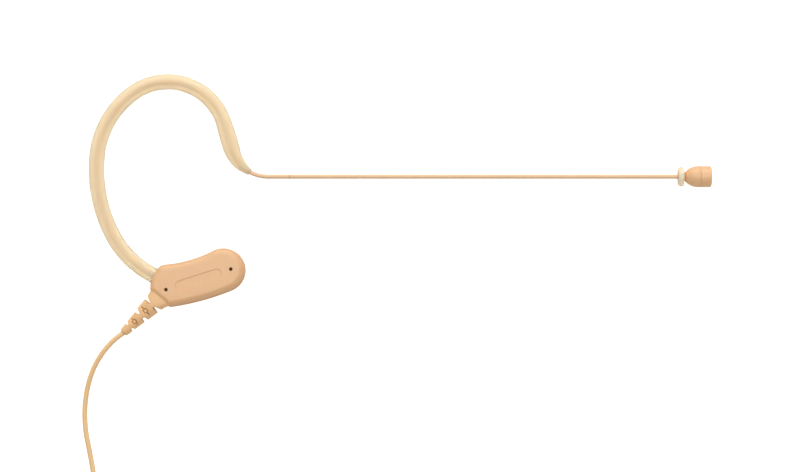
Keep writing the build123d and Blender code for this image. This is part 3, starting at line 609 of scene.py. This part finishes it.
# ---------------------------------------------------------------- capsule
def make_capsule():
    """The tapered capsule shell, its push-fit cap with sound holes, and the moisture ring."""
    rear, seam, front = shell_low.x, cap_low.x, cap_high.x
    at = placed((0, BOOM_Y), 0.0, MID)
    groove = 0.09
    nose = smooth_curve([(rear + along, radius) for along, radius in OGIVE])
    shell_profile = [
        (rear, BOOM_R + 0.02), *nose,
        (seam - groove, CAPSULE_R), (seam - groove * 0.4, CAPSULE_R - groove * 0.4),
        (seam - groove * 0.3, CAPSULE_R - 0.3), (seam + 1.0, CAPSULE_R - 0.32),
    ]
    shell = lathe("capsule_body", shell_profile, at, "capsule_plastic", sides=96)
    sharpen(shell, 50.0)
    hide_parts("capsule_shell")
    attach(shell, "boom")

    skin_depth = 0.42
    outline = rounded_profile([
        (seam, CAPSULE_R - skin_depth + 0.02, 0), (seam, CAPSULE_R, groove),
        (front, CAPSULE_R, 0.42), (front, 2.3, 0.25), (front - 0.12, 2.2, 0.1),
        (front - 0.12, 0.02, 0),
    ])
    inside = [
        (front - 0.5, 0.02), (front - 0.5, CAPSULE_R - skin_depth),
    ]
    cap = lathe("capsule_cap", outline + inside, at, "capsule_plastic", sides=96, closed=True)
    holes = [(0.0, 0.0, 0.3)]
    for radius, count, hole in ((0.95, 6, 0.25), (1.72, 12, 0.22)):
        holes += [
            (radius * math.cos(2 * math.pi * i / count),
             radius * math.sin(2 * math.pi * i / count), hole)
            for i in range(count)
        ]
    drills = []
    for y, z, hole in holes:
        drill_at = at @ Matrix.Translation((0, y, z))
        drills.append(lathe("drill", [(front - 1, hole), (front + 1, hole)], drill_at, None, 20))
    cut(cap, drills)
    finish_piece(cap, "capsule_plastic")
    sharpen(cap, 40.0)
    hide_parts("mic_cap")
    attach(cap, "cap")

    rim = (ring_high.y - ring_low.y) / 2
    section = rounded_profile([
        (ring_low.x, BOOM_R + 0.04, 0), (ring_low.x, rim, 0.75), (ring_high.x, rim, 0.75),
        (ring_high.x, BOOM_R + 0.04, 0),
    ], steps=8)
    ring = lathe("moisture_guard", section, at, "ring_silicone", sides=72, closed=True)
    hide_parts("moisture_ring")
    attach(ring, "ring")


# ---------------------------------------------------------------- housing
def arc_through(start, middle, end, count=40):
    """Points on the circular arc from start through middle to end."""
    (ax, ay), (bx, by), (cx, cy) = start, middle, end
    d = 2 * (ax * (by - cy) + bx * (cy - ay) + cx * (ay - by))
    a2, b2, c2 = ax**2 + ay**2, bx**2 + by**2, cx**2 + cy**2
    centre = Vector((
        (a2 * (by - cy) + b2 * (cy - ay) + c2 * (ay - by)) / d,
        (a2 * (cx - bx) + b2 * (ax - cx) + c2 * (bx - ax)) / d,
    ))
    first, mid, last = (
        math.atan2(p[1] - centre.y, p[0] - centre.x) for p in (start, middle, end)
    )
    sweep = (last - first) % (2 * math.pi)
    if (mid - first) % (2 * math.pi) > sweep:
        sweep -= 2 * math.pi
    radius = (Vector(start) - centre).length
    return [
        centre + radius * Vector((math.cos(first + sweep * i / count),
                                  math.sin(first + sweep * i / count)))
        for i in range(count + 1)
    ]


def trimmed(points, start, end):
    """A run of points with these lengths taken off its ends."""
    def from_start(run, length):
        run = list(run)
        while length > 0:
            step = (run[1] - run[0]).length
            if step > length:
                run[0] = run[0].lerp(run[1], length / step)
                return run
            length -= step
            run.pop(0)
        return run
    return from_start(from_start(points, start)[::-1], end)[::-1]


def housing_outline(spacing=0.25):
    """The kidney-shaped outline with soft corners, as evenly spaced points with the inward
    direction at each."""
    end_x, end_y = HOUSING_END
    end_arc = [
        Vector((end_x + HOUSING_END_R * math.cos(a), end_y + HOUSING_END_R * math.sin(a)))
        for a in (math.radians(HOUSING_END_FROM + HOUSING_END_TURN * i / 60) for i in range(61))
    ]
    corners = [Vector(place) for place in HOUSING_CORNERS]
    top = arc_through(end_arc[-1], TOP_MIDDLE, corners[0])
    bottom = arc_through(corners[3], BOTTOM_MIDDLE, end_arc[0])
    runs = [end_arc + top[1:], [corners[0], corners[1]], [corners[1], corners[2]],
            [corners[2], corners[3]], bottom]
    outline = []
    for index, run in enumerate(runs):
        cut_run = trimmed(run, CORNER_REACHES[index], CORNER_REACHES[index + 1])
        if index:
            start, corner, end = outline[-1], run[0], cut_run[0]
            outline += [
                start * (1 - t) ** 2 + corner * (2 * t * (1 - t)) + end * t**2
                for t in (i / 8 for i in range(1, 8))
            ]
        outline += cut_run
    closed = outline + [outline[0]]
    total = sum((b - a).length for a, b in zip(closed, closed[1:]))
    count = round(total / spacing)
    even, target, gone = [], 0.0, 0.0
    for a, b in zip(closed, closed[1:]):
        step = (b - a).length
        while target < gone + step - 1e-9 and len(even) < count:
            even.append(a.lerp(b, (target - gone) / step))
            target += total / count
        gone += step
    found = []
    for i, point in enumerate(even):
        along = (even[(i + 1) % count] - even[i - 1]).normalized()
        found.append((point, Vector((-along.y, along.x))))
    return found


def relaxed(ring, rounds):
    """A closed ring of points, evened out so that an inset corner doesn't fold over."""
    for _ in range(rounds):
        count = len(ring)
        ring = [
            (ring[i - 1] + ring[i] * 2 + ring[(i + 1) % count]) / 4 for i in range(count)
        ]
    return ring


def housing_shell(name, levels, slot, shift=(0.0, 0.0)):
    """A shell whose rings are the outline, inset and at the height that each level says."""
    outline = housing_outline()
    at = placed((HOUSING_AT[0] + shift[0], HOUSING_AT[1] + shift[1]), HOUSING_TILT)
    rings = []
    for inset, height in levels:
        ring = [point + inward * inset for point, inward in outline]
        ring = relaxed(ring, round(12 * inset) if inset > 0.5 else 0)
        rings.append([at @ Vector((*point, height)) for point in ring])
    return rings_mesh(name, rings, slot)


def stadium(half, radius, steps=24):
    """A slot shape: two half circles of this radius, with their centres at -half and half."""
    return [
        (side * half + radius * math.cos(a), radius * math.sin(a))
        for side, first in ((1, -90), (-1, 90))
        for a in (math.radians(first + 180 * i / steps) for i in range(steps + 1))
    ]


def make_housing():
    """The two shells behind the ear, with their seam, pin holes and the sleeve's socket."""
    at = placed(HOUSING_AT, HOUSING_TILT)
    quarter = [math.radians(90 * i / 10) for i in range(11)]
    front_levels = [(HOUSING_WALL, FACE_Z - 1.0), (HOUSING_WALL, SEAM_Z), (0.2, SEAM_Z),
                    (0.12, SEAM_Z + 0.04), (0.1, SEAM_Z + 0.12)]
    front_levels += [
        (BEVEL_OUT + (BEVEL_IN - BEVEL_OUT) * (1 - math.cos(a)),
         BEVEL_LOW_Z + (FACE_Z - BEVEL_LOW_Z) * math.sin(a))
        for a in quarter
    ]
    front = housing_shell("housing_face", front_levels, "housing_plastic", FRONT_SHIFT)

    rear_levels = [(HOUSING_WALL, 1.0), (HOUSING_WALL, SEAM_Z), (0.1, SEAM_Z),
                   (0.03, SEAM_Z - 0.04), (0.0, SEAM_Z - 0.12)]
    rear_levels += [
        (REAR_BEVEL * (1 - math.cos(a)), REAR_BEVEL * (1 - math.sin(a))) for a in quarter
    ]
    rear = housing_shell("housing_back", rear_levels, "housing_plastic")

    upright = Matrix.Rotation(-math.pi / 2, 4, "Y")
    pins_at = [at @ Matrix.Translation((x, 0, 0)) @ upright for x in (-PIN_SPAN / 2, PIN_SPAN / 2)]
    boss = [(SEAM_Z, PIN_BOSS_R), (FACE_Z - 0.8, PIN_BOSS_R)]
    cut(front, [lathe("boss", boss, pin_at, None, 32) for pin_at in pins_at], "UNION")
    hole = [(SEAM_Z - 1, PIN_HOLE_R), (FACE_Z + 1, PIN_HOLE_R)]
    holes = [lathe("hole", hole, pin_at, None, 32) for pin_at in pins_at]
    panel_half = (PANEL_LENGTH - PANEL_WIDTH) / 2
    panel_levels = ((-0.1, FACE_Z + 0.3), (0.0, FACE_Z), (0.12, FACE_Z - PANEL_DEPTH))
    panel = rings_mesh(
        "panel",
        [[at @ Vector((*point, height)) for point in stadium(panel_half, PANEL_WIDTH / 2 - inset)]
         for inset, height in panel_levels],
        None,
    )
    cut(front, [*holes, panel])

    path, marks = follow(SLEEVED_RUNS, (BEND_X, BOOM_Y), 180.0)
    socket = path[marks[6] + 30 :]
    for shell in (front, rear):
        cut(shell, [tube("socket", socket, [SLEEVE_R + 0.1] * len(socket), None)])
        finish_piece(shell, "housing_plastic")
        sharpen(shell, 32.0)
    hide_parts("housing_front")
    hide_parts("housing_rear")
    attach(front, "housing")
    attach(rear, "housing")


# ---------------------------------------------------------------- strain relief
def prism(name, outline, matrix, low, high):
    """A cutter: this outline, from low to high along the matrix's Z."""
    rings = [[matrix @ Vector((*point, height)) for point in outline] for height in (low, high)]
    return rings_mesh(name, rings, None)


def square(half):
    """A square's corners, about the origin."""
    return [(-half, -half), (half, -half), (half, half), (-half, half)]


def power(value, exponent):
    """The value raised to this power, with its sign kept."""
    return math.copysign(abs(value) ** exponent, value)


def relief_skin(at):
    """The strain relief's outside, before its notches and grooves."""
    turns = [2 * math.pi * side / RELIEF_SIDES for side in range(RELIEF_SIDES)]
    return rings_mesh("relief_body", [
        [at @ Vector((along, wide * power(math.cos(a), square_off),
                      high * power(math.sin(a), square_off)))
         for a in turns]
        for along, wide, high, square_off in RELIEF_STATIONS
    ], None)


def notch_cutters(at):
    """The wedges that cut in from both sides and leave a neck between the blocks."""
    cutters = []
    for mouth_low, mouth_high, root_low, root_high in RELIEF_NOTCHES:
        outline = [
            (root_low, RELIEF_NECK), (root_high, RELIEF_NECK), (mouth_high, MOUTH_EDGE),
            (mouth_high + 0.1, CUTTER_REACH), (mouth_low - 0.6, CUTTER_REACH),
            (mouth_low, MOUTH_EDGE),
        ]
        cutters.append(prism("notch", outline, at, -4.0, 4.0))
        cutters.append(prism("notch", [(x, -y) for x, y in outline], at, -4.0, 4.0))
    return cutters


def groove_cutters(at):
    """Grooves across each block, a steady depth below its round surface, with square windows."""
    across = at @ Matrix(((0, 0, 1, 0), (1, 0, 0, 0), (0, 1, 0, 0), (0, 0, 0, 1)))
    cutters = []
    for place, radius, wide in RELIEF_GROOVES:
        spread = math.asin(wide / radius)
        turns = [spread * (i / 10 - 1) for i in range(21)]
        floor = radius - GROOVE_DEPTH
        for face in (1, -1):
            band = [(r * math.sin(a), face * r * math.cos(a))
                    for r, order in ((floor, turns), (radius + 1.0, turns[::-1])) for a in order]
            cutters.append(prism("groove", band, across, place - GROOVE_HALF, place + GROOVE_HALF))
            well = at @ Matrix.Translation((place, 0, face * (floor + 2.0)))
            cutters.append(prism("window", square(WINDOW_HALF), well, -2.0, 2.0))
    return cutters


def make_relief():
    """The slotted strain relief: a flared collar and three blocks, cut from side and face."""
    at = placed(RELIEF_AT, RELIEF_HEADING, MID)
    relief = relief_skin(at)
    cut(relief, notch_cutters(at) + groove_cutters(at))
    posts = []
    for place, radius, _ in RELIEF_GROOVES:
        middle = at @ Matrix.Translation((place, 0, 0))
        reach = radius - POST_SINK
        posts.append(prism("post", square(POST_HALF), middle, POST_SINK - radius, reach))
    cut(relief, posts, "UNION")
    bevel = relief.modifiers.new("bevel", "BEVEL")
    bevel.width, bevel.segments = 0.06 * MM, 2
    bevel.limit_method, bevel.angle_limit = "ANGLE", math.radians(40.0)
    apply_modifiers(relief)
    sharpen(relief, 45.0)
    finish_piece(relief, "relief_rubber")
    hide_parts("strain_relief")
    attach(relief, "housing")


# ---------------------------------------------------------------- latch
def make_leaf():
    """The bowed leaf under the plug's latch button, in its rest shape."""
    low, high = box_mm("latch_spring")
    bow = high.z - low.z - LEAF_THICKNESS
    rings = []
    for step in range(LEAF_STEPS + 1):
        t = step / LEAF_STEPS
        x, z = low.x + (high.x - low.x) * t, low.z + bow * 4 * t * (1 - t)
        top = z + LEAF_THICKNESS
        rings.append([Vector((x, low.y, z)), Vector((x, high.y, z)),
                      Vector((x, high.y, top)), Vector((x, low.y, top))])
    leaf = rings_mesh("latch_leaf", rings, "latch_steel")
    sharpen(leaf, 40.0)
    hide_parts("latch_spring")
    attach(leaf, "housing")
    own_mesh(leaf)


# ---------------------------------------------------------------- everything
make_stage()
lead = make_lead()
make_boom_and_sleeve()
make_capsule()
make_housing()
make_relief()
make_leaf()

for node, piece in frame["nodes"].items():
    piece.data.materials.clear()
    piece.data.materials.append(MATERIALS[slot_of[node]])
    sharpen(piece, 30.0)
